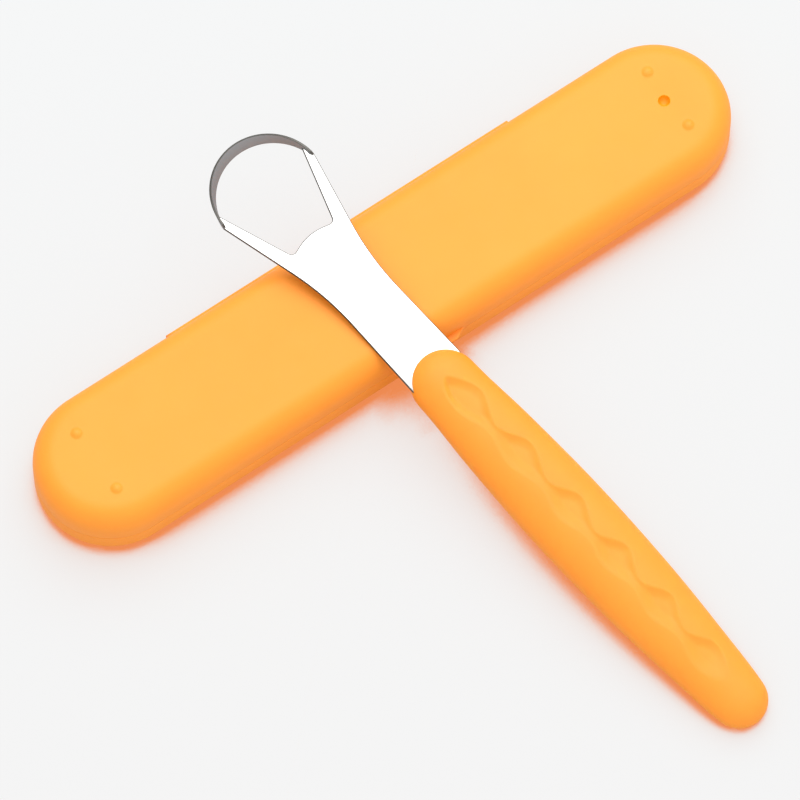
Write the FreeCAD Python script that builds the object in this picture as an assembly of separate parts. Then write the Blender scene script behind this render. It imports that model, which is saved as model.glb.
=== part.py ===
"""Tongue scraper leaning across its closed travel case.

Millimetres, +Z up. The origin is the middle of the case's resting face, X runs along the case and
+Y points at its hinge. The scraper is drawn flat, with its tail at the origin and its head along
+X, and is then laid on the case's near upper edge with its tail on the table.
"""
import FreeCAD, Part
import math
import os

Vector = FreeCAD.Vector

# Case: a long pod with half-round ends, split across the middle
case_length = 160.0
case_width = 30.3
case_height = 15.05
case_wall = 1.6
case_edge_radius = 4.7
parting_height = 7.8
parting_gap = 0.1

# Register lip inside the lower rim, and the rebate that takes it
lip_height = 1.2
lip_thickness = 0.6
lip_clearance = 0.2

# Living hinge: two flanges and a thin web that loops round between them when closed
hinge_length = 83.0
flange_reach = 0.6
flange_thickness = 1.6
flange_corner_radius = 0.8
web_thickness = 0.4
web_loop_radius = 0.8

# Thumb tab at the middle of the lid's near side
tab_length = 18.0
tab_reach = 1.4
tab_ramp = 3.2
tab_thickness = 1.0

# Marks on the lid's face, placed by shares of the case's width
pip_diameter = 2.2
pip_height = 0.5
pip_inset_share = 0.40
pip_spread_share = 0.23
dimple_diameter = 2.4
dimple_depth = 1.3
dimple_inset_share = 0.43

# Handle: round in plan at the tail, fullest past its middle, drawn in to a domed front
handle_length = 97.0
handle_width = 17.1
handle_thickness = 10.2
handle_tail_radius = 5.8
handle_tail_flare_deg = 9.0
handle_front_width = 14.0
handle_front_dome = 6.9
handle_drop = 0.8
swell_shares = [(0.175, 0.81), (0.35, 0.95), (0.57, 1.0), (0.775, 0.925)]

# Grip relief: a chain of scooped cells on both faces of the handle
relief_cells = 6
relief_end_inset = 6.4
relief_width = 6.0
relief_neck = 1.0
relief_depth = 0.8

# Blade: one sheet, from the hidden tang to the tips of the two arms
sheet_thickness = 0.7
blade_reach = 56.85
tang_length = 33.0
tang_width = 8.0
tang_corner_radius = 1.5
shoulder_depth = 9.0
shoulder_width = 12.7
shoulder_ramp = 1.5
neck_width = 11.9
neck_bend_radius = 60.0
flare_deg = 14.3

# Loop: a narrow band that leans outwards, its upper edge ahead of its lower one, drawn down to the arms
band_rise = 1.15
band_drop = 0.6
band_upper_radius = 11.75
band_lower_radius = 12.0
band_forward = 2.05
band_taper = 2.6
arm_outer_deg = 85.0
arm_inner_deg = 71.0

# Opening between the arms
loop_depth = 13.4
loop_corner_width = 10.7
loop_corner_radius = 1.1
loop_bump_rise = 1.7
loop_bump_radius = 10.6

# How the scraper lies: where it crosses the case's edge and which way it points
rest_from_front = 6.87
rest_crossing = -4.42
rest_heading_deg = 97.65
rest_gap = 0.2
table_gap = 0.05

# Spare length on cutting tools, and rounds of the two searches for a place
overrun = 3.0
search_rounds = 40

half_length = case_length / 2
half_width = case_width / 2
skin = case_wall - lip_thickness - lip_clearance
hinge_edge = half_width + flange_reach
lower_rim = parting_height - parting_gap / 2
upper_rim = parting_height + parting_gap / 2

flatness = handle_thickness / handle_width
scraper_length = handle_length + blade_reach
upper_centre = scraper_length - band_upper_radius
lower_centre = upper_centre - band_forward
drop_share = band_drop / (band_rise + band_drop)
level_centre = lower_centre + drop_share * band_forward
level_radius = band_lower_radius + drop_share * (band_upper_radius - band_lower_radius)
rest_reach = handle_length + rest_from_front


def extruded(wire, low, high):
    """Prism over a flat wire drawn at zero height."""
    prism = Part.Face(wire).extrude(Vector(0, 0, high - low))
    prism.translate(Vector(0, 0, low))
    return prism


def rounded_wire(corners):
    """Closed wire through (point, radius) corners, each turned by a tangent arc."""
    turns = []
    for index, (point, radius) in enumerate(corners):
        before = (corners[index - 1][0] - point).normalize()
        after = (corners[(index + 1) % len(corners)][0] - point).normalize()
        half_angle = before.getAngle(after) / 2
        reach = radius / math.tan(half_angle)
        inward = (before + after).normalize()
        middle = point + inward * (radius / math.sin(half_angle) - radius)
        turns.append((point + before * reach, middle, point + after * reach, radius))
    edges = []
    for index, (start, middle, end, radius) in enumerate(turns):
        if radius > 0:
            edges.append(Part.Arc(start, middle, end).toShape())
        edges.append(Part.LineSegment(end, turns[(index + 1) % len(turns)][0]).toShape())
    return Part.Wire(edges)


def stadium(inset, low, high):
    """Upright block with the case's plan, drawn in evenly by an inset."""
    radius = half_width - inset
    straight = half_length - half_width
    edges = []
    for side in (1, -1):
        start = Vector(side * straight, -side * radius, 0)
        end = Vector(side * straight, side * radius, 0)
        edges.append(Part.Arc(start, Vector(side * (straight + radius), 0, 0), end).toShape())
        edges.append(Part.LineSegment(end, Vector(-side * straight, side * radius, 0)).toShape())
    return extruded(Part.Wire(edges), low, high)


def pod(inset):
    """The case's whole form, drawn in by an inset, with its upper and lower edges rounded."""
    block = stadium(inset, inset, case_height - inset)
    level = [edge for edge in block.Edges if len({round(corner.Z, 3) for corner in edge.Vertexes}) == 1]
    return block.makeFillet(case_edge_radius - inset, level)


def slab(low, high):
    """Box over the whole case between two heights."""
    length = case_length + 2 * overrun
    width = case_width + 2 * overrun
    return Part.makeBox(length, width, high - low, Vector(-length / 2, -width / 2, low))


def hinge_flange(low, high):
    """Ledge along the far side that carries one edge of the hinge's web."""
    inner = half_width - skin / 2
    base = Vector(-hinge_length / 2, inner, low)
    ledge = Part.makeBox(hinge_length, hinge_edge - inner, high - low, base)
    upright = []
    for edge in ledge.Edges:
        at_edge = all(round(corner.Y - hinge_edge, 3) == 0 for corner in edge.Vertexes)
        if at_edge and len({round(corner.X, 3) for corner in edge.Vertexes}) == 1:
            upright.append(edge)
    return ledge.makeFillet(flange_corner_radius, upright)


def lower_shell():
    """Tray with its register lip and hinge flange."""
    tray = pod(0).cut(pod(case_wall)).common(slab(-overrun, lower_rim))
    lip_top = parting_height + lip_height
    lip = stadium(case_wall - lip_thickness, lower_rim - lip_height, lip_top)
    lip = lip.cut(stadium(case_wall, -overrun, lip_top + overrun))
    flange = hinge_flange(parting_height - flange_thickness, lower_rim)
    return tray.fuse([lip, flange]).removeSplitter()


def lid_pip(x, y):
    """Low round bump that stands on the lid's face."""
    radius = pip_diameter / 2
    ball_radius = (radius ** 2 + pip_height ** 2) / (2 * pip_height)
    ball = Part.makeSphere(ball_radius, Vector(x, y, case_height + pip_height - ball_radius))
    return ball.common(slab(case_height - case_wall / 2, case_height + overrun))


def thumb_tab():
    """Ledge with ramped ends that a thumb lifts."""
    root = -half_width + skin / 2
    tip = -half_width - tab_reach
    outer = tab_length / 2
    inner = outer - tab_ramp
    plan = [Vector(-outer, root, 0), Vector(-inner, tip, 0), Vector(inner, tip, 0), Vector(outer, root, 0)]
    return extruded(Part.makePolygon(plan + plan[:1]), upper_rim, upper_rim + tab_thickness)


def upper_shell():
    """Lid with its rebate, flange, thumb tab, pips and dimple."""
    lid = pod(0).cut(pod(case_wall)).common(slab(upper_rim, case_height + overrun))
    rebate_top = parting_height + lip_height + lip_clearance
    lid = lid.cut(stadium(skin, lower_rim, rebate_top))
    flange = hinge_flange(upper_rim, parting_height + flange_thickness)
    pip_x = half_length - pip_inset_share * case_width
    pip_y = pip_spread_share * case_width
    pips = [lid_pip(side * pip_x, row * pip_y) for side in (1, -1) for row in (1, -1)]
    lid = lid.fuse([flange, thumb_tab()] + pips).removeSplitter()
    dimple_x = half_length - dimple_inset_share * case_width
    dimple_base = Vector(dimple_x, 0, case_height - dimple_depth)
    return lid.cut(Part.makeCylinder(dimple_diameter / 2, dimple_depth + overrun, dimple_base))


def hinge_web():
    """Thin strip looped from the lower flange's edge round to the upper one's."""
    length = hinge_length - 2 * flange_corner_radius
    base = Vector(-length / 2, hinge_edge, parting_height)
    along = Vector(1, 0, 0)
    outer_radius = web_loop_radius + web_thickness / 2
    tube = Part.makeCylinder(outer_radius, length, base, along)
    tube = tube.cut(Part.makeCylinder(web_loop_radius - web_thickness / 2, length, base, along))
    corner = Vector(-length / 2, hinge_edge, parting_height - outer_radius)
    return tube.common(Part.makeBox(length, outer_radius, 2 * outer_radius, corner))


def tail_end():
    """Where the handle's round tail runs into its swelling side, and the side's direction there."""
    flare = math.radians(handle_tail_flare_deg)
    point = Vector(handle_tail_radius * (1 - math.sin(flare)), handle_tail_radius * math.cos(flare), 0)
    return point, Vector(math.cos(flare), math.sin(flare), 0)


def handle_side():
    """Side of the handle in plan, from its round tail to its domed front."""
    start, direction = tail_end()
    front = Vector(handle_length - handle_front_dome, handle_front_width / 2, 0)
    swell = [Vector(along * handle_length, across * handle_width / 2, 0) for along, across in swell_shares]
    side = Part.BSplineCurve()
    points = [start] + swell + [front]
    side.interpolate(Points=points, InitialTangent=direction, FinalTangent=Vector(1, 0, 0))
    return side


def handle_outline():
    """Half of the handle's plan, closed along its axis."""
    bend = math.pi / 4
    tail_middle = Vector(1 - math.cos(bend), math.sin(bend), 0) * handle_tail_radius
    tail_arc = Part.Arc(Vector(0, 0, 0), tail_middle, tail_end()[0])
    centre = Vector(handle_length - handle_front_dome, 0, 0)
    widest = centre + Vector(0, handle_front_width / 2, 0)
    dome = Part.Ellipse(widest, centre - Vector(handle_front_dome, 0, 0), centre)
    front_arc = Part.ArcOfEllipse(dome, -math.pi / 2, 0)
    axis = Part.LineSegment(Vector(handle_length, 0, 0), Vector(0, 0, 0))
    curves = [tail_arc, handle_side(), front_arc, axis]
    return Part.Wire(Part.sortEdges([curve.toShape() for curve in curves])[0])


def handle_body():
    """The handle without its relief: its plan turned about its axis and pressed flatter."""
    turned = Part.Face(handle_outline()).revolve(Vector(0, 0, 0), Vector(1, 0, 0), 360)
    press = FreeCAD.Matrix()
    press.scale(1, 1, flatness)
    return turned.transformGeometry(press)


def side_at(side, along):
    """Half width of the handle at a distance from its tail, and the slope of its side there."""
    low = side.FirstParameter
    high = side.LastParameter
    for _ in range(search_rounds):
        middle = (low + high) / 2
        if side.value(middle).x < along:
            low = middle
        else:
            high = middle
    direction = side.tangent(low)[0]
    return side.value(low).y, direction.y / direction.x


def relief_scoop(side, along, pitch):
    """Cutter for one cell: the lowest stretch of a ring that rolls along the handle's crown."""
    half, slope = side_at(side, along)
    crown = Vector(along, 0, half * flatness)
    neck_share = (relief_neck / relief_width) ** 2
    roll_radius = (pitch / 2) ** 2 / (2 * relief_depth * (1 - neck_share))
    scoop_radius = 1 / (2 * relief_depth / (relief_width / 2) ** 2 - flatness / half)
    rise = 2 * relief_depth
    half_chord = math.sqrt(2 * scoop_radius * rise - rise ** 2)
    lowest = crown - Vector(0, 0, relief_depth)
    chord = [lowest + Vector(0, row * half_chord, rise) for row in (-1, 1)]
    bow = Part.Arc(chord[0], lowest, chord[1]).toShape()
    face = Part.Face(Part.Wire([bow, Part.LineSegment(chord[1], chord[0]).toShape()]))
    axis = lowest + Vector(0, 0, roll_radius)
    sweep = math.degrees(pitch / roll_radius)
    face.rotate(axis, Vector(0, 1, 0), -sweep)
    scoop = face.revolve(axis, Vector(0, 1, 0), 2 * sweep)
    scoop.rotate(crown, Vector(0, 1, 0), -math.degrees(math.atan(slope * flatness)))
    return scoop


def handle():
    """Grip with a chain of scooped cells along both faces, under the blade's level by its drop."""
    side = handle_side()
    pitch = (handle_length - 2 * relief_end_inset) / relief_cells
    scoops = []
    for cell in range(relief_cells):
        scoop = relief_scoop(side, relief_end_inset + (cell + 1 / 2) * pitch, pitch)
        scoops.append(scoop)
        scoops.append(scoop.mirror(Vector(0, 0, 0), Vector(0, 0, 1)))
    body = handle_body().cut(scoops)
    body.translate(Vector(0, 0, -handle_drop))
    return body


def arm_tip():
    """Outer and inner corner of the far arm's end: on the band's outside, and within its wall."""
    inner_radius = level_radius - sheet_thickness / 2
    corners = []
    for radius, degrees in ((level_radius, arm_outer_deg), (inner_radius, arm_inner_deg)):
        turn = math.radians(degrees)
        corners.append(Vector(level_centre + radius * math.cos(turn), radius * math.sin(turn), 0))
    return corners


def band_block(inset):
    """Solid round the head between the band's lower and upper edge, drawn in by an inset."""
    lower = Part.makeCircle(band_lower_radius - inset, Vector(lower_centre, 0, -band_drop))
    upper = Part.makeCircle(band_upper_radius - inset, Vector(upper_centre, 0, band_rise))
    return Part.makeLoft([Part.Wire(lower), Part.Wire(upper)], True, True)


def loop_band():
    """Thin wall round the head from arm to arm, its ends drawn down to the sheet's thickness."""
    end = arm_tip()[0].x
    full = end + band_taper
    front = scraper_length + overrun
    width = 2 * (band_lower_radius + overrun)
    side = [
        (end, sheet_thickness / 2),
        (full, band_rise),
        (front, band_rise),
        (front, -band_drop),
        (full, -band_drop),
        (end, -sheet_thickness / 2),
    ]
    corners = [Vector(x, -width / 2, z) for x, z in side]
    kept = Part.Face(Part.makePolygon(corners + corners[:1])).extrude(Vector(0, width, 0))
    return band_block(0).cut(band_block(sheet_thickness)).common(kept)


def plate_wire():
    """Outline of the flat sheet: tang, shoulders, neck, arms and the opening between them."""
    outer_tip, inner_tip = arm_tip()
    shoulder = handle_length - shoulder_depth
    neck_half = neck_width / 2
    neck = outer_tip.x - (outer_tip.y - neck_half) / math.tan(math.radians(flare_deg))
    root = upper_centre - loop_depth
    far_side = [
        (Vector(handle_length - tang_length, tang_width / 2, 0), tang_corner_radius),
        (Vector(shoulder - shoulder_ramp, tang_width / 2, 0), 0),
        (Vector(shoulder, shoulder_width / 2, 0), 0),
        (Vector(neck, neck_half, 0), neck_bend_radius),
        (outer_tip, 0),
        (inner_tip, 0),
        (Vector(root, loop_corner_width / 2, 0), loop_corner_radius),
    ]
    near_side = [(Vector(point.x, -point.y, 0), radius) for point, radius in reversed(far_side)]
    bump = (Vector(root + loop_bump_rise, 0, 0), loop_bump_radius)
    return rounded_wire(far_side + [bump] + near_side)


def steel_blade():
    """The stamping: flat sheet and band."""
    plate = extruded(plate_wire(), -sheet_thickness / 2, sheet_thickness / 2)
    return plate.fuse(loop_band()).removeSplitter()


def rest_lean():
    """Slope of the scraper, in radians, with its blade on the case's edge and its tail on the table."""
    reach = (rest_reach - handle_tail_radius) * math.sin(math.radians(rest_heading_deg))
    rise = handle_drop - sheet_thickness / 2 - rest_gap - case_edge_radius
    lean = 0
    for _ in range(search_rounds):
        tail_height = handle_tail_radius * math.hypot(math.sin(lean), flatness * math.cos(lean))
        climb = case_height - case_edge_radius - table_gap - tail_height - rise * math.cos(lean)
        lean = math.asin(climb / reach)
    return lean


def laid(shape):
    """The flat-drawn shape, moved to where the scraper lies."""
    lean = rest_lean()
    above_edge = case_edge_radius + rest_gap + sheet_thickness / 2
    edge_centre = Vector(rest_crossing, case_edge_radius - half_width, case_height - case_edge_radius)
    position = edge_centre + Vector(0, -math.sin(lean), math.cos(lean)) * above_edge
    slope = FreeCAD.Rotation(Vector(1, 0, 0), math.degrees(lean))
    heading = FreeCAD.Rotation(Vector(0, 0, 1), rest_heading_deg)
    move = FreeCAD.Placement(position, slope.multiply(heading))
    move = move.multiply(FreeCAD.Placement(Vector(-rest_reach, 0, 0), FreeCAD.Rotation()))
    return shape.transformed(move.toMatrix(), True)


def build():
    """Write one file for each piece."""
    blade = steel_blade()
    pieces = {
        "lower_shell": lower_shell(),
        "upper_shell": upper_shell(),
        "hinge_web": hinge_web(),
        "steel_blade": laid(blade),
        "handle": laid(handle().cut(blade)),
    }
    os.makedirs("parts", exist_ok=True)
    for name, shape in pieces.items():
        box = shape.BoundBox
        print(name, shape.isValid(), len(shape.Solids), round(shape.Volume, 1), "mm3",
              [round(size, 2) for size in (box.XMin, box.YMin, box.ZMin, box.XMax, box.YMax, box.ZMax)])
        shape.exportStep("parts/" + name + ".step")
    print("lean", round(math.degrees(rest_lean()), 3), "degrees")


build()
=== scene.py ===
"""Tongue scraper leaning across its closed travel case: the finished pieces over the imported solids.

Metres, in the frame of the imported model. The sizes that are named below are in millimetres.
"""
import math

import bmesh
import bpy
from mathutils import Matrix, Vector


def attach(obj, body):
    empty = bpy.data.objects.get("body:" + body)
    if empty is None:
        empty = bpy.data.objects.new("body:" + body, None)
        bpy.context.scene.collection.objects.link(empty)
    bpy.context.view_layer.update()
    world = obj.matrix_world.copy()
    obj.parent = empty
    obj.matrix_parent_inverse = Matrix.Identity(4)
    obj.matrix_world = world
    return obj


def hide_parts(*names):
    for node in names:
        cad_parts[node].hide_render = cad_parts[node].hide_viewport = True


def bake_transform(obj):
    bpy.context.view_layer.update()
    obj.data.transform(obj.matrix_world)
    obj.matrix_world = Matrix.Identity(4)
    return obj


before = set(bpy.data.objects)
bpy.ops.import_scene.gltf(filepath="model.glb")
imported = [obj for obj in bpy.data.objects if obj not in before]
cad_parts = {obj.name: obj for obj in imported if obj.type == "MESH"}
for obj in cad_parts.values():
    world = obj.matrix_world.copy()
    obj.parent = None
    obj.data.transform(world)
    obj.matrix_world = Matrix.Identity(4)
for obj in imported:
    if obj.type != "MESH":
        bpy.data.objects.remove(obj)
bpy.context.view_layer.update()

MM = 0.001
NEAR = 1e-6

# Travel case
CASE_HALF_WIDTH = 15.15
CASE_END_CENTRE = 64.85
CASE_HEIGHT = 15.05
CASE_WALL = 1.6
CASE_EDGE_RADIUS = 4.7
PARTING = 7.8
PARTING_GAP = 0.1
RIM_ROUND = 0.08
LIP_HEIGHT = 1.2
LIP_THICKNESS = 0.6
LIP_CLEARANCE = 0.2
HINGE_LENGTH = 83.0
HINGE_EDGE = 15.75
HINGE_LEDGE_THICKNESS = 1.6
WEB_RADIUS = 0.8
WEB_THICKNESS = 0.4
PIP_PLACE = (67.88, 6.97)
DIMPLE_PLACE = 66.97
DIMPLE_RADIUS = 1.3
DIMPLE_DEPTH = 1.3
TAB_HALF_LENGTH = 9.0
TAB_REACH = 1.4
TAB_THICKNESS = 1.0
ROOT_OVERLAP = 0.4

# Scraper, drawn flat with its tail at the origin and its head along +X
HANDLE_LENGTH = 97.0
HANDLE_HALF_WIDTH = 8.55
HANDLE_FLATNESS = 0.5965
HANDLE_TAIL_RADIUS = 5.8
HANDLE_DROP = 0.8
HANDLE_FRONT_DOME = 6.9
HANDLE_FRONT_HALF_WIDTH = 7.0
HANDLE_FLARE = math.radians(9)
RECESS_DEPTH = 0.8
SHEET = 0.7
SHOULDER_BURIED = 11.0
SHOULDER_HALF_WIDTH = 6.37
NECK_HALF_WIDTH = 5.95
NECK_RADIUS = 60.0
ARM_FLARE = math.radians(14.3)
LOOP_ROOT_BACK = 13.4
LOOP_ROOT_HALF_WIDTH = 5.35
LOOP_ROOT_RADIUS = 1.1
LOOP_BUMP_RISE = 1.7
LOOP_BUMP_RADIUS = 10.6
BAND_RISE = 1.15
BAND_DROP = 0.6
BAND_UPPER_RADIUS = 11.75
BAND_LOWER_RADIUS = 12.0
BAND_UPPER_CENTRE = 142.1
BAND_LOWER_CENTRE = 140.05
BAND_ENDS = 141.7
BAND_TAPER = 2.6
BAND_WALL = 0.5

# How the scraper lies: its neck on the case's near upper edge, its tail on the table
REST_REACH = 103.87
REST_HEADING = math.radians(97.65)
REST_LEAN = math.radians(6.628)
REST_ABOVE_EDGE = CASE_EDGE_RADIUS + 0.2 + SHEET / 2
REST_EDGE = Vector((-4.42, CASE_EDGE_RADIUS - CASE_HALF_WIDTH, CASE_HEIGHT - CASE_EDGE_RADIUS))


def only(piece):
    """Make one piece the active one, with nothing else selected."""
    bpy.ops.object.select_all(action="DESELECT")
    piece.select_set(True)
    bpy.context.view_layer.objects.active = piece


def opened(name):
    """Name the primitive just added, put its place into its mesh and open it for editing."""
    piece = bpy.context.object
    piece.name = name
    piece.data.name = name
    bpy.ops.object.transform_apply(location=True, rotation=True, scale=True)
    bpy.ops.object.mode_set(mode="EDIT")
    return piece


def pick(test, parts="verts"):
    """Select, in the piece that is open, just the vertices, edges or faces that pass a test."""
    bpy.ops.mesh.select_mode(type={"verts": "VERT", "edges": "EDGE", "faces": "FACE"}[parts])
    bpy.ops.mesh.select_all(action="DESELECT")
    mesh = bmesh.from_edit_mesh(bpy.context.edit_object.data)
    for item in getattr(mesh, parts):
        if test(item):
            item.select_set(True)
    mesh.select_flush_mode()
    bmesh.update_edit_mesh(bpy.context.edit_object.data)


def closed(smooth_deg=40):
    """Merge doubles, turn the faces outwards and leave editing, smooth but for crisp corners."""
    bpy.ops.mesh.select_all(action="SELECT")
    bpy.ops.mesh.remove_doubles(threshold=NEAR)
    bpy.ops.mesh.normals_make_consistent(inside=False)
    bpy.ops.object.mode_set(mode="OBJECT")
    bpy.ops.object.shade_smooth_by_angle(angle=math.radians(smooth_deg))


def finish_with(piece, kind, **settings):
    """Put a modifier on a piece and apply it."""
    only(piece)
    modifier = piece.modifiers.new(kind, kind)
    for name, value in settings.items():
        setattr(modifier, name, value)
    bpy.ops.object.modifier_apply(modifier=modifier.name)


def pulled(move, share=1.0, centre=(0, 0, 0)):
    """Extrude what is selected by a move in millimetres, then draw it in or out about a centre."""
    bpy.ops.mesh.extrude_region_move(TRANSFORM_OT_translate={"value": Vector(move) * MM})
    if share != 1.0:
        bpy.ops.transform.resize(value=(share, share, share), center_override=Vector(centre) * MM)


def drawn_on(move):
    """Extrude lone vertices into edges by a move in millimetres."""
    bpy.ops.mesh.extrude_vertices_move(TRANSFORM_OT_translate={"value": Vector(move) * MM})


def quarter(radius, steps):
    """Run and rise along a quarter round, from its start to its end."""
    turns = [math.pi / 2 * step / steps for step in range(1, steps + 1)]
    return [(radius * math.sin(turn), radius * (1 - math.cos(turn))) for turn in turns]


def share_of(value, low, high):
    """How far a value is from one bound to the other, kept between 0 and 1."""
    return min(max((value - low) / (high - low), 0), 1)


def eased(share):
    """Share that starts and ends gently."""
    return share * share * (3 - 2 * share)


def case_shell(name, stations):
    """Shell of the case: half its plan drawn on through (inset, height) stations, and mirrored."""
    past_middle = 10
    inset, height = stations[0]
    bpy.ops.object.select_all(action="DESELECT")
    bpy.ops.mesh.primitive_circle_add(
        vertices=128,
        radius=(CASE_HALF_WIDTH - inset) * MM,
        location=Vector((CASE_END_CENTRE, 0, height)) * MM,
    )
    shell = opened(name)
    pick(lambda corner: corner.co.x < CASE_END_CENTRE * MM - NEAR)
    bpy.ops.mesh.delete(type="VERT")
    pick(lambda corner: corner.co.x < CASE_END_CENTRE * MM + NEAR)
    drawn_on((-CASE_END_CENTRE - past_middle, 0, 0))
    bpy.ops.mesh.select_all(action="SELECT")
    for inset_next, height_next in stations[1:]:
        share = (CASE_HALF_WIDTH - inset_next) / (CASE_HALF_WIDTH - inset)
        pulled((0, 0, height_next - height), share, (CASE_END_CENTRE, 0, height_next))
        inset, height = inset_next, height_next
    bpy.ops.mesh.select_all(action="SELECT")
    bpy.ops.mesh.bisect(plane_co=(0, 0, 0), plane_no=(1, 0, 0), clear_inner=True)
    bpy.ops.object.mode_set(mode="OBJECT")
    finish_with(shell, "MIRROR", merge_threshold=10 * NEAR)
    bpy.ops.object.mode_set(mode="EDIT")
    return shell


def on_ring(edge, height):
    """Whether an edge is part of the open ring of a shell at a height."""
    return edge.is_boundary and all(abs(end.co.z - height * MM) < NEAR for end in edge.verts)


def fill_ring(height):
    """Close the open ring of a shell at a height with one face."""
    pick(lambda edge: on_ring(edge, height), "edges")
    bpy.ops.mesh.edge_face_add()


def lower_case():
    """Tray: rounded foot, rim, register lip inside the rim, and the hollow inside."""
    rim = PARTING - PARTING_GAP / 2
    lip_top = PARTING + LIP_HEIGHT
    lip_outside = CASE_WALL - LIP_THICKNESS
    inner_radius = CASE_EDGE_RADIUS - CASE_WALL
    stations = [(CASE_EDGE_RADIUS + 0.3, 0), (CASE_EDGE_RADIUS, 0)]
    stations += [(CASE_EDGE_RADIUS - run, rise) for run, rise in quarter(CASE_EDGE_RADIUS, 12)]
    stations += [(0, rim - RIM_ROUND)]
    stations += [(rise, rim - RIM_ROUND + run) for run, rise in quarter(RIM_ROUND, 4)]
    stations += [(lip_outside, rim), (lip_outside, lip_top - RIM_ROUND)]
    lip_round = quarter(RIM_ROUND, 3)
    stations += [(lip_outside + rise, lip_top - RIM_ROUND + run) for run, rise in lip_round]
    stations += [(CASE_WALL - RIM_ROUND, lip_top)]
    stations += [(CASE_WALL - RIM_ROUND + run, lip_top - rise) for run, rise in lip_round]
    stations += [(CASE_WALL, CASE_EDGE_RADIUS)]
    inner_round = quarter(inner_radius, 8)
    stations += [(CASE_WALL + rise, CASE_EDGE_RADIUS - run) for run, rise in inner_round]
    stations += [(CASE_EDGE_RADIUS + 0.3, CASE_WALL)]
    tray = case_shell("lower_case", stations)
    for height in (0, CASE_WALL):
        fill_ring(height)
    closed()
    return tray


def lid_dimple():
    """Blind round dimple in the open lid's face, with a softened rim and a round bottom."""
    soft = 0.1
    radius, height = DIMPLE_RADIUS, CASE_HEIGHT
    centre = Vector((DIMPLE_PLACE, 0, height))
    bpy.ops.mesh.primitive_circle_add(vertices=48, radius=radius * MM, location=centre * MM)
    pick(lambda edge: on_ring(edge, CASE_HEIGHT) or edge.is_wire, "edges")
    bpy.ops.mesh.fill()
    pick(lambda corner: abs((corner.co - centre * MM).length - radius * MM) < NEAR)
    stations = [(radius - run, height - rise) for run, rise in quarter(soft, 4)]
    bowl_radius, bowl_depth = radius - soft, DIMPLE_DEPTH - soft
    for turn in (math.radians(degrees) for degrees in range(10, 81, 10)):
        sunk = soft + bowl_depth * math.sin(turn)
        stations.append((bowl_radius * math.cos(turn), CASE_HEIGHT - sunk))
    for radius_next, height_next in stations:
        pulled((0, 0, height_next - height), radius_next / radius, (DIMPLE_PLACE, 0, height_next))
        radius, height = radius_next, height_next
    bpy.ops.mesh.edge_face_add()


def upper_case():
    """Lid: rounded crown, rim, the rebate that takes the lip, and the hollow inside."""
    rim = PARTING + PARTING_GAP / 2
    skin = CASE_WALL - LIP_THICKNESS - LIP_CLEARANCE
    rebate_top = PARTING + LIP_HEIGHT + LIP_CLEARANCE
    ceiling = CASE_HEIGHT - CASE_WALL
    spring = CASE_HEIGHT - CASE_EDGE_RADIUS
    inner_radius = CASE_EDGE_RADIUS - CASE_WALL
    stations = [(CASE_EDGE_RADIUS + 0.3, CASE_HEIGHT), (CASE_EDGE_RADIUS, CASE_HEIGHT)]
    crown = quarter(CASE_EDGE_RADIUS, 12)
    stations += [(CASE_EDGE_RADIUS - run, CASE_HEIGHT - rise) for run, rise in crown]
    stations += [(0, rim + RIM_ROUND)]
    stations += [(rise, rim + RIM_ROUND - run) for run, rise in quarter(RIM_ROUND, 4)]
    stations += [(skin, rim), (skin, rebate_top), (CASE_WALL, rebate_top), (CASE_WALL, spring)]
    stations += [(CASE_WALL + rise, spring + run) for run, rise in quarter(inner_radius, 8)]
    stations += [(CASE_EDGE_RADIUS + 0.3, ceiling)]
    lid = case_shell("upper_case", stations)
    fill_ring(ceiling)
    lid_dimple()
    closed()
    return lid


def line_dimple(lid, finishes):
    """Give the lid its finish, and the dimple's inside the second one: painted shade, a saturated
    orange.
    """
    for finish in finishes:
        lid.data.materials.append(finish)
    within, above = (DIMPLE_RADIUS - 0.02) * MM, (CASE_HEIGHT - DIMPLE_DEPTH - 0.15) * MM
    for face in lid.data.polygons:
        from_centre = math.hypot(face.center.x - DIMPLE_PLACE * MM, face.center.y)
        if from_centre < within and face.center.z > above:
            face.material_index = 1


def lid_pips():
    """Four low bumps on the lid, soft at the foot: one is modelled and copied to three places."""
    x, y = PIP_PLACE
    foot = [(1.25, 0.01), (1.12, 0.06), (1.0, 0.13)]
    dome = [(0.85, 0.235), (0.6, 0.371), (0.3, 0.469), (0.1, 0.497)]
    radius, height = 1.4, -0.03
    bpy.ops.object.select_all(action="DESELECT")
    bpy.ops.mesh.primitive_circle_add(
        vertices=48,
        radius=radius * MM,
        fill_type="NGON",
        location=Vector((x, y, CASE_HEIGHT + height)) * MM,
    )
    pip = opened("lid_pip")
    for radius_next, height_next in foot + dome:
        centre = (x, y, CASE_HEIGHT + height_next)
        pulled((0, 0, height_next - height), radius_next / radius, centre)
        radius, height = radius_next, height_next
    closed(60)
    pips = [pip]
    for move in ((-2 * x, 0, 0), (0, -2 * y, 0), (-2 * x, -2 * y, 0)):
        only(pip)
        bpy.ops.object.duplicate(linked=False)
        bpy.ops.transform.translate(value=Vector(move) * MM)
        bpy.ops.object.transform_apply(location=True, rotation=False, scale=False)
        pips.append(bpy.context.object)
    return pips


def block(name, low, high):
    """Cube stretched between two corners and opened for editing."""
    low, high = Vector(low) * MM, Vector(high) * MM
    bpy.ops.object.select_all(action="DESELECT")
    bpy.ops.mesh.primitive_cube_add(size=1, location=(low + high) / 2, scale=high - low)
    return opened(name)


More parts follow.
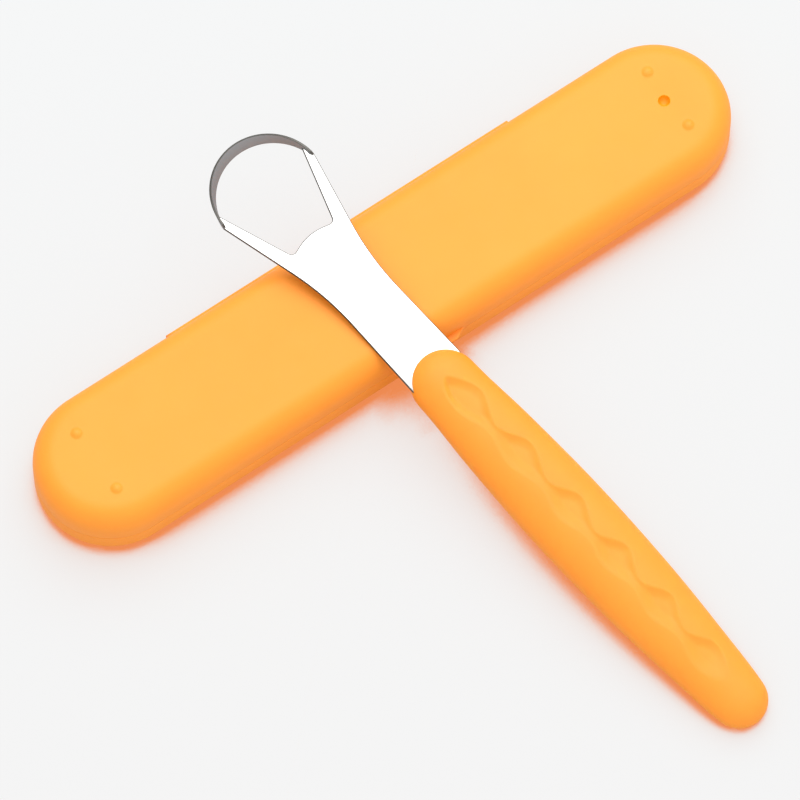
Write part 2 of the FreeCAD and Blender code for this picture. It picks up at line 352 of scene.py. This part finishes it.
def thumb_tab():
    """Ledge with ramped ends at the middle of the lid's near side."""
    tip_share, soft = 0.645, 0.22
    low = PARTING + PARTING_GAP / 2
    root, tip = ROOT_OVERLAP - CASE_HALF_WIDTH, -CASE_HALF_WIDTH - TAB_REACH
    high = low + TAB_THICKNESS
    tab = block("thumb_tab", (-TAB_HALF_LENGTH, tip, low), (TAB_HALF_LENGTH, root, high))
    pick(lambda corner: corner.co.y < (tip + NEAR) * MM)
    bpy.ops.transform.resize(value=(tip_share, 1, 1), center_override=(0, tip * MM, low * MM))
    bpy.ops.mesh.select_all(action="SELECT")
    bpy.ops.mesh.bevel(offset=soft * MM, segments=4, affect="EDGES")
    closed()
    return tab


def hinge_ledge(name, low, high):
    """Ledge along the case's far side that carries one edge of the hinge's web."""
    corner_radius, soft = 0.8, 0.15
    half = HINGE_LENGTH / 2
    ledge = block(name, (-half, CASE_HALF_WIDTH - ROOT_OVERLAP, low), (half, HINGE_EDGE, high))
    pick(lambda edge: all(abs(end.co.y - HINGE_EDGE * MM) < NEAR for end in edge.verts)
         and abs(edge.verts[0].co.x - edge.verts[1].co.x) < NEAR, "edges")
    bpy.ops.mesh.bevel(offset=corner_radius * MM, segments=8, affect="EDGES")
    pick(lambda edge: edge.calc_face_angle(0) > 1, "edges")
    bpy.ops.mesh.bevel(offset=soft * MM, segments=3, affect="EDGES")
    closed()
    return ledge


def hinge_strip():
    """Thin web of the living hinge, spun half round from the lower ledge's edge to the upper's."""
    end_margin = 0.8
    half = HINGE_LENGTH / 2 - end_margin
    axis_place = Vector((0, HINGE_EDGE, PARTING))
    bpy.ops.object.select_all(action="DESELECT")
    bpy.ops.mesh.primitive_plane_add(size=1)
    strip = opened("hinge_strip")
    bpy.ops.mesh.merge(type="CENTER")
    bpy.ops.mesh.select_all(action="SELECT")
    bpy.ops.transform.translate(value=Vector((-half, HINGE_EDGE, PARTING - WEB_RADIUS)) * MM)
    drawn_on((2 * half, 0, 0))
    bpy.ops.mesh.select_all(action="SELECT")
    bpy.ops.mesh.subdivide(number_cuts=40)
    bpy.ops.mesh.select_all(action="SELECT")
    bpy.ops.mesh.spin(steps=20, angle=-math.pi, center=axis_place * MM, axis=(1, 0, 0))
    closed()
    finish_with(strip, "SOLIDIFY", thickness=WEB_THICKNESS * MM, offset=0)
    return strip


def laid():
    """Move from where the scraper is drawn to where it lies."""
    above = Vector((0, -math.sin(REST_LEAN), math.cos(REST_LEAN))) * REST_ABOVE_EDGE
    turn = Matrix.Rotation(REST_LEAN, 4, "X") @ Matrix.Rotation(REST_HEADING, 4, "Z")
    back = Matrix.Translation((-REST_REACH * MM, 0, 0))
    return Matrix.Translation((REST_EDGE + above) * MM) @ turn @ back


def lay(piece):
    """Put a flat-drawn piece of the scraper where it lies, with its place in its mesh."""
    only(piece)
    piece.matrix_world = laid()
    bpy.ops.object.transform_apply(location=True, rotation=True, scale=True)


def handle_half_width(along):
    """Half width of the handle's swelling side: a smooth curve through six widths."""
    tail_end = HANDLE_TAIL_RADIUS * (1 - math.sin(HANDLE_FLARE))
    tail = (tail_end, HANDLE_TAIL_RADIUS * math.cos(HANDLE_FLARE))
    front = (HANDLE_LENGTH - HANDLE_FRONT_DOME, HANDLE_FRONT_HALF_WIDTH)
    shares = ((0.175, 0.81), (0.35, 0.95), (0.57, 1.0), (0.775, 0.925))
    swell = [(run * HANDLE_LENGTH, width * HANDLE_HALF_WIDTH) for run, width in shares]
    knots = [tail] + swell + [front]
    slopes = [math.tan(HANDLE_FLARE)]
    for before, after in zip(knots, knots[2:]):
        slopes.append((after[1] - before[1]) / (after[0] - before[0]))
    slopes.append(0)
    place = max(index for index in range(len(knots) - 1) if knots[index][0] <= along + NEAR)
    (start, low), (end, high) = knots[place], knots[place + 1]
    reach = end - start
    share = (along - start) / reach
    ease = eased(share)
    leave = share * (1 - share) ** 2 * slopes[place] * reach
    arrive = share * share * (share - 1) * slopes[place + 1] * reach
    return low * (1 - ease) + high * ease + leave + arrive


def handle_stations():
    """Places along the handle and its half width there: round tail, swelling side, domed front."""
    stations = []
    for degrees in range(8, 81, 8):
        turn = math.radians(degrees)
        along = HANDLE_TAIL_RADIUS * (1 - math.cos(turn))
        stations.append((along, HANDLE_TAIL_RADIUS * math.sin(turn)))
    tail = HANDLE_TAIL_RADIUS * (1 - math.sin(HANDLE_FLARE))
    front = HANDLE_LENGTH - HANDLE_FRONT_DOME
    runs = 38
    for step in range(1, runs + 1):
        along = tail + (front - tail) * step / runs
        stations.append((along, handle_half_width(along)))
    for degrees in range(10, 81, 10):
        turn = math.radians(degrees)
        along = front + HANDLE_FRONT_DOME * math.sin(turn)
        stations.append((along, HANDLE_FRONT_HALF_WIDTH * math.cos(turn)))
    return stations


def recess_wave(along, neck, belly, blunt=1.0):
    """Half width of the wavy recess on one side, from its front leaf to its last cell.

    The tips of those two are round, and blunter with a power under 1.
    """
    necks = (90.4, 76.4, 61.3, 47.9, 35.0, 22.2, 9.0)
    belly_share = 0.47
    for front, end in zip(necks, necks[1:]):
        if end <= along <= front:
            share = (front - along) / (front - end)
            if share < belly_share:
                rise = share / belly_share
                tip = front == necks[0]
            else:
                rise = (1 - share) / (1 - belly_share)
                tip = end == necks[-1]
            if tip:
                return belly * math.sin(math.pi / 2 * rise) ** blunt
            return neck + (belly - neck) * (1 - math.cos(math.pi * rise)) / 2
    return 0.0


def recess_depth_share(along, across):
    """Depth of the recess at a place: a crisp wall on one side, a soft rise on the other.

    The rise is shorter at the front leaf, and the whole recess fades out towards the tail.
    """
    crisp, step = 2.0, 0.05
    wall_neck, wall_belly = 0.4, 3.4
    rise_neck, rise_belly, rise_blunt = 1.8, 3.3, 0.5
    soft = 1.4 + 2.0 * share_of(along, 87, 78)
    before = recess_wave(along - step, wall_neck, wall_belly)
    after = recess_wave(along + step, wall_neck, wall_belly)
    wall_line = recess_wave(along, wall_neck, wall_belly)
    from_wall = (wall_line + across) / math.hypot(1, (after - before) / (2 * step))
    from_rise = recess_wave(along, rise_neck, rise_belly, rise_blunt) - across
    wall = share_of(from_wall, 0, crisp)
    rise = eased(share_of(from_rise, 0, soft))
    fade = eased(share_of(along, 8.5, 15.5))
    return (1 - (1 - wall) ** 2) * rise * fade


def grip_handle():
    """Handle drawn on from ring to ring, pressed flat, with the wavy recess sunk in both faces."""
    stations = handle_stations()
    along, half = stations[0]
    bpy.ops.object.select_all(action="DESELECT")
    bpy.ops.mesh.primitive_circle_add(
        vertices=64,
        radius=half * MM,
        fill_type="TRIFAN",
        location=(along * MM, 0, 0),
        rotation=(0, math.pi / 2, 0),
    )
    handle = opened("grip_handle")
    pick(lambda edge: edge.is_boundary, "edges")
    for along_next, half_next in stations[1:]:
        pulled((along_next - along, 0, 0), half_next / half, (along_next, 0, 0))
        along, half = along_next, half_next
    bpy.ops.mesh.edge_face_add()
    bpy.ops.mesh.poke()
    bpy.ops.mesh.select_all(action="SELECT")
    bpy.ops.transform.resize(value=(1, 1, HANDLE_FLATNESS), center_override=(0, 0, 0))
    closed(180)
    finish_with(handle, "SUBSURF", levels=2, render_levels=2)
    group = handle.vertex_groups.new(name="recess")
    for corner in handle.data.vertices:
        weight = recess_depth_share(corner.co.x / MM, corner.co.y / MM)
        if weight > 0 and abs(corner.co.z) > 0.5 * MM:
            group.add([corner.index], weight, "REPLACE")
    finish_with(handle, "DISPLACE", strength=-RECESS_DEPTH * MM, mid_level=0, vertex_group="recess")
    handle.vertex_groups.clear()
    bpy.ops.object.mode_set(mode="EDIT")
    bpy.ops.mesh.select_all(action="SELECT")
    bpy.ops.transform.translate(value=(0, 0, -HANDLE_DROP * MM))
    closed(180)
    lay(handle)
    return handle


def rounded_corner(before, corner, after, radius):
    """Start, centre and turn of the arc that rounds a corner of an outline."""
    back, on = (before - corner).normalized(), (after - corner).normalized()
    half = back.angle(on) / 2
    start = corner + back * (radius / math.tan(half))
    centre = corner + (back + on).normalized() * (radius / math.sin(half))
    side = 1 if back.cross(on).z < 0 else -1
    return start, centre, side * (math.pi - 2 * half)


def thickened(piece, finishes, wall, soft):
    """Give a surface a thickness, with the second finish, a painted edge shade, on its cut and
    softened edges.
    """
    for finish in finishes:
        piece.data.materials.append(finish)
    finish_with(piece, "SOLIDIFY", thickness=wall * MM, offset=0, material_offset_rim=1)
    finish_with(
        piece,
        "BEVEL",
        width=soft * MM,
        segments=4,
        limit_method="ANGLE",
        angle_limit=math.radians(50),
        material=1,
    )


def blade_sheet(finishes):
    """Flat of the stamping: half its outline in runs and spun arcs, filled, mirrored, thickened."""
    level_share = BAND_DROP / (BAND_RISE + BAND_DROP)
    centre = BAND_LOWER_CENTRE + level_share * (BAND_UPPER_CENTRE - BAND_LOWER_CENTRE)
    radius = BAND_LOWER_RADIUS + level_share * (BAND_UPPER_RADIUS - BAND_LOWER_RADIUS)
    outer, inner = math.radians(85), math.radians(71)
    outer_tip = Vector((centre + radius * math.cos(outer), radius * math.sin(outer), 0))
    inner_radius = radius - SHEET / 2
    inner_tip = Vector((centre + inner_radius * math.cos(inner), inner_radius * math.sin(inner), 0))
    arm_run = (outer_tip.y - NECK_HALF_WIDTH) / math.tan(ARM_FLARE)
    neck = Vector((outer_tip.x - arm_run, NECK_HALF_WIDTH, 0))
    root = Vector((BAND_UPPER_CENTRE - LOOP_ROOT_BACK, LOOP_ROOT_HALF_WIDTH, 0))
    bump = Vector((root.x + LOOP_BUMP_RISE, 0, 0))
    shoulder = Vector((HANDLE_LENGTH - SHOULDER_BURIED, SHOULDER_HALF_WIDTH, 0))
    hidden = Vector((shoulder.x, 0, 0))
    mirrored_root = Vector((root.x, -root.y, 0))
    neck_arc = rounded_corner(shoulder, neck, outer_tip, NECK_RADIUS)
    root_arc = rounded_corner(inner_tip, root, bump, LOOP_ROOT_RADIUS)
    bump_arc = rounded_corner(root, bump, mirrored_root, LOOP_BUMP_RADIUS)

    bpy.ops.object.select_all(action="DESELECT")
    bpy.ops.mesh.primitive_plane_add(size=1)
    sheet = opened("blade_sheet")
    bpy.ops.mesh.merge(type="CENTER")
    bpy.ops.mesh.select_all(action="SELECT")
    bpy.ops.transform.translate(value=hidden * MM)
    pen = hidden
    drawing = [
        (shoulder, None, 0, 0),
        (neck_arc[0], neck_arc[1], neck_arc[2], 16),
        (outer_tip, None, 0, 0),
        (inner_tip, None, 0, 0),
        (root_arc[0], root_arc[1], root_arc[2], 10),
        (bump_arc[0], bump_arc[1], bump_arc[2] / 2, 16),
        (hidden, None, 0, 0),
    ]
    for target, about, turn, steps in drawing:
        drawn_on(target - pen)
        pen = target
        if about is not None:
            bpy.ops.mesh.spin(steps=steps, angle=-turn, center=about * MM, axis=(0, 0, 1))
            pen = about + Matrix.Rotation(turn, 3, "Z") @ (target - about)
    bpy.ops.mesh.select_all(action="SELECT")
    bpy.ops.mesh.remove_doubles(threshold=NEAR)
    bpy.ops.mesh.edge_face_add()
    closed()
    finish_with(sheet, "MIRROR", use_axis=(False, True, False), merge_threshold=10 * NEAR)
    thickened(sheet, finishes, SHEET, 0.18)
    return sheet


def head_band(finishes):
    """Band of the loop: a ring drawn up, forward and in, cut down to the arms, and thickened.

    It stops short of its full rise, because its cut edge lies square to its slope.
    """
    height = BAND_RISE + BAND_DROP
    low_margin, high_margin = -0.05, 0.165
    low_share, high_share = low_margin / height, 1 - high_margin / height
    spans = [
        (BAND_LOWER_RADIUS - BAND_WALL / 2, BAND_UPPER_RADIUS - BAND_WALL / 2),
        (BAND_LOWER_CENTRE, BAND_UPPER_CENTRE),
        (-BAND_DROP, BAND_RISE),
    ]
    lower, start, floor = [first + (last - first) * low_share for first, last in spans]
    upper, stop, top = [first + (last - first) * high_share for first, last in spans]
    bpy.ops.object.select_all(action="DESELECT")
    bpy.ops.mesh.primitive_circle_add(
        vertices=192,
        radius=lower * MM,
        location=Vector((start, 0, floor)) * MM,
    )
    band = opened("head_band")
    pulled((stop - start, 0, top - floor), upper / lower, (stop, 0, top))
    half = SHEET / 2
    cuts = [
        ((BAND_ENDS, 0, 0), (-1, 0, 0)),
        ((BAND_ENDS, 0, half), (half - BAND_RISE, 0, BAND_TAPER)),
        ((BAND_ENDS, 0, -half), (half - BAND_DROP, 0, -BAND_TAPER)),
    ]
    for place, normal in cuts:
        bpy.ops.mesh.select_all(action="SELECT")
        bpy.ops.mesh.bisect(plane_co=Vector(place) * MM, plane_no=normal, clear_outer=True)
    closed()
    thickened(band, finishes, BAND_WALL, 0.24)
    return band


def scraper_blade(flat_finish, band_finish, cut_finish):
    """Whole stamping: flat and band joined, and laid in its place."""
    sheet, band = blade_sheet([flat_finish, cut_finish]), head_band([band_finish, cut_finish])
    only(sheet)
    band.select_set(True)
    bpy.ops.object.join()
    sheet.name = "scraper_blade"
    sheet.data.name = "scraper_blade"
    bpy.ops.object.shade_smooth_by_angle(angle=math.radians(20))
    lay(sheet)
    return sheet


def linear(code):
    """Linear colour of an sRGB hex value."""
    levels = []
    for place in (1, 3, 5):
        part = int(code[place:place + 2], 16) / 255
        levels.append(part / 12.92 if part <= 0.04045 else ((part + 0.055) / 1.055) ** 2.4)
    return levels + [1]


def add_node(tree, kind, settings, links=()):
    """Node of a kind, with its settings by socket or property and links from other sockets."""
    made = tree.nodes.new(kind)
    for name, value in settings.items():
        if name in made.inputs:
            made.inputs[name].default_value = value
        else:
            setattr(made, name, value)
    for socket, source in links:
        tree.links.new(source, made.inputs[socket])
    return made


def bare_material(name):
    """Material with an empty node tree."""
    material = bpy.data.materials.new(name)
    material.use_nodes = True
    material.node_tree.nodes.clear()
    return material, material.node_tree


def moulded_polypropylene(name, low_code, high_code, glow):
    """Orange polypropylene from a satin mould: broad soft sheen, a little depth, faint flow.

    The mould's texture is about 0.1 mm, too fine to show here, so it is drawn at 0.7 mm. The flow
    shows over 26 mm and the patches of sheen over 5 mm.
    """
    material, tree = bare_material(name)
    place = add_node(tree, "ShaderNodeTexCoord", {}).outputs["Object"]
    flow = add_node(
        tree,
        "ShaderNodeTexNoise",
        {"Scale": 1 / (26 * MM), "Detail": 3, "Roughness": 0.5},
        [("Vector", place)],
    )
    tone = add_node(tree, "ShaderNodeValToRGB", {}, [("Fac", flow.outputs["Fac"])])
    tone.color_ramp.elements[0].color = linear(low_code)
    tone.color_ramp.elements[0].position = 0.3
    tone.color_ramp.elements[1].color = linear(high_code)
    tone.color_ramp.elements[1].position = 0.7
    patch = add_node(
        tree,
        "ShaderNodeTexNoise",
        {"Scale": 1 / (5 * MM), "Detail": 2},
        [("Vector", place)],
    )
    gloss = add_node(
        tree,
        "ShaderNodeMapRange",
        {"To Min": 0.5, "To Max": 0.57},
        [("Value", patch.outputs["Fac"])],
    )
    grain = add_node(
        tree,
        "ShaderNodeTexNoise",
        {"Scale": 1 / (0.7 * MM), "Detail": 2},
        [("Vector", place)],
    )
    bump = add_node(
        tree,
        "ShaderNodeBump",
        {"Strength": 0.12, "Distance": 0.03 * MM},
        [("Height", grain.outputs["Fac"])],
    )
    shader = add_node(
        tree,
        "ShaderNodeBsdfPrincipled",
        {
            "IOR": 1.49,
            "Subsurface Weight": glow,
            "Subsurface Radius": (1.0, 0.4, 0.12),
            "Subsurface Scale": 1.2 * MM,
        },
        [
            ("Base Color", tone.outputs["Color"]),
            ("Roughness", gloss.outputs["Result"]),
            ("Normal", bump.outputs["Normal"]),
        ],
    )
    add_node(tree, "ShaderNodeOutputMaterial", {}, [("Surface", shader.outputs["BSDF"])])
    return material


def stainless(name, low_code, high_code, least_rough, most_rough):
    """Stainless sheet with fine lines along its length: a soft mirror, satin, or a dull cut edge.

    The polishing lines are about 0.05 mm apart, too fine to show, so they are drawn at 0.4 mm.
    The darker tones given to the satin band and the cut edge are painted shade.
    """
    material, tree = bare_material(name)
    place = add_node(tree, "ShaderNodeTexCoord", {}).outputs["Object"]
    along = add_node(
        tree,
        "ShaderNodeMapping",
        {
            "vector_type": "TEXTURE",
            "Rotation": (REST_LEAN, 0, REST_HEADING),
            "Scale": (30 * MM, 0.4 * MM, 0.4 * MM),
        },
        [("Vector", place)],
    )
    lines = add_node(
        tree,
        "ShaderNodeTexNoise",
        {"Scale": 1, "Detail": 3},
        [("Vector", along.outputs["Vector"])],
    )
    gloss = add_node(
        tree,
        "ShaderNodeMapRange",
        {"To Min": least_rough, "To Max": most_rough},
        [("Value", lines.outputs["Fac"])],
    )
    tone = add_node(tree, "ShaderNodeValToRGB", {}, [("Fac", lines.outputs["Fac"])])
    tone.color_ramp.elements[0].color = linear(low_code)
    tone.color_ramp.elements[1].color = linear(high_code)
    bump = add_node(
        tree,
        "ShaderNodeBump",
        {"Strength": 0.05, "Distance": 0.02 * MM},
        [("Height", lines.outputs["Fac"])],
    )
    shader = add_node(
        tree,
        "ShaderNodeBsdfPrincipled",
        {"Metallic": 1.0},
        [
            ("Base Color", tone.outputs["Color"]),
            ("Roughness", gloss.outputs["Result"]),
            ("Normal", bump.outputs["Normal"]),
        ],
    )
    add_node(tree, "ShaderNodeOutputMaterial", {}, [("Surface", shader.outputs["BSDF"])])
    return material


def table_sweep():
    """Pale floor: neutral to the light, with a painted warm shadow where the camera sees it.

    Close to the object its own light is warm and its matt colour cool, which add up to white in the
    open and leave a painted orange cast in the shadows. At their root, found by occlusion, both are
    orange: painted shadow for the light that orange plastic would cast there. Reflections see that
    painted root reach farther out.
    """
    bpy.ops.object.select_all(action="DESELECT")
    bpy.ops.mesh.primitive_plane_add(size=8, location=(0, 0, -0.05 * MM))
    floor = bpy.context.object
    floor.name = "floor"
    material, tree = bare_material("matt_white_board_painted_warm_shadow")
    path = add_node(tree, "ShaderNodeLightPath", {})
    seen = add_node(
        tree,
        "ShaderNodeMath",
        {"operation": "MAXIMUM"},
        [(0, path.outputs["Is Camera Ray"]), (1, path.outputs["Is Glossy Ray"])],
    ).outputs["Value"]
    place = add_node(tree, "ShaderNodeTexCoord", {}).outputs["Object"]
    spread = add_node(tree, "ShaderNodeVectorMath", {"operation": "LENGTH"}, [("Vector", place)])
    close = add_node(
        tree,
        "ShaderNodeMapRange",
        {"From Min": 0.18, "From Max": 0.4, "To Min": 1.0, "To Max": 0.0},
        [("Value", spread.outputs["Value"])],
    ).outputs["Result"]
    # Occlusion by the object sets where the painted shadow colours below take over.
    occlusion_for_painted_shadow = add_node(tree, "ShaderNodeAmbientOcclusion", {"samples": 16, "Distance": 14 * MM})
    painted_shadow_depth = add_node(
        tree,
        "ShaderNodeMapRange",
        {"From Min": 1.0, "From Max": 0.5},
        [("Value", occlusion_for_painted_shadow.outputs["AO"])],
    ).outputs["Result"]
    # A gentler power for reflections, so the painted orange root reaches farther in them: painted
    # reflection.
    falloff = add_node(
        tree,
        "ShaderNodeMapRange",
        {"To Min": 8.0, "To Max": 1.5},
        [("Value", path.outputs["Is Glossy Ray"])],
    ).outputs["Result"]
    root = add_node(
        tree,
        "ShaderNodeMath",
        {"operation": "POWER"},
        [(0, painted_shadow_depth), (1, falloff)],
    ).outputs["Value"]
    # Painted warm shadow: the floor's own light turns orange at the shadow's root.
    painted_warm_shadow_light = add_node(
        tree,
        "ShaderNodeMixRGB",
        {"Color1": linear("#E3D5D1"), "Color2": linear("#E6844D")},
        [("Fac", root)],
    )
    own = add_node(
        tree,
        "ShaderNodeMixRGB",
        {"Color1": linear("#DADADA")},
        [("Fac", close), ("Color2", painted_warm_shadow_light.outputs["Color"])],
    )
    # Cool matt colour that balances the warm own light in the open, so the painted shadow comes out
    # orange.
    painted_shadow_cool_matt = add_node(
        tree,
        "ShaderNodeMixRGB",
        {"Color1": linear("#597379"), "Color2": linear("#594B35")},
        [("Fac", root)],
    )
    matt_seen = add_node(
        tree,
        "ShaderNodeMixRGB",
        {"Color1": linear("#6C6C6C")},
        [("Fac", close), ("Color2", painted_shadow_cool_matt.outputs["Color"])],
    )
    colour = add_node(
        tree,
        "ShaderNodeMixRGB",
        {"Color1": linear("#CFCFCF")},
        [("Fac", seen), ("Color2", matt_seen.outputs["Color"])],
    )
    matt = add_node(tree, "ShaderNodeBsdfDiffuse", {}, [("Color", colour.outputs["Color"])])
    light = add_node(
        tree,
        "ShaderNodeEmission",
        {},
        [("Color", own.outputs["Color"]), ("Strength", seen)],
    )
    both = add_node(
        tree,
        "ShaderNodeAddShader",
        {},
        [(0, matt.outputs["BSDF"]), (1, light.outputs["Emission"])],
    )
    add_node(tree, "ShaderNodeOutputMaterial", {}, [("Surface", both.outputs["Shader"])])
    floor.data.materials.append(material)


def studio():
    """Broad overhead softbox towards the far right, and a dim room, lightest on its near side."""
    place, aim = Vector((0.27, 0.3, 0.76)), Vector((0, -0.03, 0))
    width, radiance = 0.96, 2.4
    bpy.ops.object.light_add(type="AREA", location=place)
    lamp = bpy.context.object
    lamp.name = "softbox"
    lamp.data.shape = "SQUARE"
    lamp.data.size = width
    lamp.data.energy = radiance * math.pi * width * width
    lamp.rotation_mode = "QUATERNION"
    lamp.rotation_quaternion = (aim - place).to_track_quat("-Z", "Y")

    world = bpy.data.worlds.new("room")
    bpy.context.scene.world = world
    world.use_nodes = True
    tree = world.node_tree
    tree.nodes.clear()
    way = add_node(tree, "ShaderNodeTexCoord", {}).outputs["Generated"]
    parts = add_node(tree, "ShaderNodeSeparateXYZ", {}, [("Vector", way)])
    high = add_node(
        tree,
        "ShaderNodeMapRange",
        {"From Max": 0.25, "To Min": 0.55, "To Max": 0.84},
        [("Value", parts.outputs["Z"])],
    )
    near = add_node(
        tree,
        "ShaderNodeMapRange",
        {"From Min": 0.0, "From Max": -1.0, "To Max": 0.38},
        [("Value", parts.outputs["Y"])],
    )
    level = add_node(
        tree,
        "ShaderNodeMath",
        {"operation": "ADD"},
        [(0, high.outputs["Result"]), (1, near.outputs["Result"])],
    )
    sky = add_node(
        tree,
        "ShaderNodeBackground",
        {"Color": linear("#FFFFFF")},
        [("Strength", level.outputs["Value"])],
    )
    add_node(tree, "ShaderNodeOutputWorld", {}, [("Surface", sky.outputs["Background"])])


def photo_camera():
    """Camera at the photograph's angle, far off with a long lens."""
    elevation, azimuth, distance = math.radians(67.62), math.radians(-34.64), 1.4927
    aside, lowered = 0.00292, 0.0182
    level = math.cos(elevation)
    back = Vector((math.sin(azimuth) * level, -math.cos(azimuth) * level, math.sin(elevation)))
    right = Vector((math.cos(azimuth), math.sin(azimuth), 0))
    up = back.cross(right)
    bpy.ops.object.camera_add(location=back * distance + right * aside - up * lowered)
    camera = bpy.context.object
    camera.rotation_mode = "QUATERNION"
    camera.rotation_quaternion = (-back).to_track_quat("-Z", "Y")
    camera.data.lens = 340.1
    camera.data.sensor_width = 36
    camera.data.clip_end = 20
    bpy.context.scene.camera = camera


case_plastic = moulded_polypropylene("moulded_polypropylene_case", "#FE9622", "#FF9A26", 0.06)
# Dimple's inside: a saturated orange as painted shade in the pit.
pit_plastic_painted_shade = moulded_polypropylene("moulded_polypropylene_pit_painted_shade", "#F89E02", "#FCA206", 0.25)
grip_plastic = moulded_polypropylene("moulded_polypropylene_grip", "#FE9622", "#FF9A26", 0.4)
blade_steel = stainless("polished_stainless", "#D3D1CE", "#DEDDDA", 0.13, 0.19)
# Band: a darker tone than the flat's, painted shade, on a rougher satin.
band_steel_painted_shade = stainless("satin_stainless_painted_shade", "#9A9DA0", "#A6A9AC", 0.7, 0.76)
# Cut edges: partly a duller sheared edge, darkened further as painted edge shade.
cut_steel_painted_shade = stainless("sheared_stainless_edge_painted_shade", "#55534F", "#6A6864", 0.4, 0.5)


def dressed(piece, material, body=None):
    """Give a piece the body that it rides on, if one is named, and its material if it has none yet.
    """
    if not piece.data.materials:
        piece.data.materials.append(material)
    if body:
        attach(piece, body)


tray = lower_case()
dressed(tray, case_plastic, "case_base")
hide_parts("lower_shell")
rim, foot = PARTING - PARTING_GAP / 2, PARTING - HINGE_LEDGE_THICKNESS
lower_ledge = hinge_ledge("lower_hinge_ledge", foot, rim)
dressed(lower_ledge, case_plastic, "case_base")

lid = upper_case()
line_dimple(lid, [case_plastic, pit_plastic_painted_shade])
dressed(lid, case_plastic, "case_lid")
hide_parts("upper_shell")
rim, top = PARTING + PARTING_GAP / 2, PARTING + HINGE_LEDGE_THICKNESS
upper_ledge = hinge_ledge("upper_hinge_ledge", rim, top)
for piece in [thumb_tab(), upper_ledge] + lid_pips():
    dressed(piece, case_plastic, "case_lid")

strip = hinge_strip()
dressed(strip, case_plastic)
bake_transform(strip)
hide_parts("hinge_web")

handle = grip_handle()
dressed(handle, grip_plastic, "scraper")
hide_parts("handle")
blade = scraper_blade(blade_steel, band_steel_painted_shade, cut_steel_painted_shade)
dressed(blade, blade_steel, "scraper")
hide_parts("steel_blade")

table_sweep()
studio()
photo_camera()
bpy.context.scene.view_settings.view_transform = "Standard"
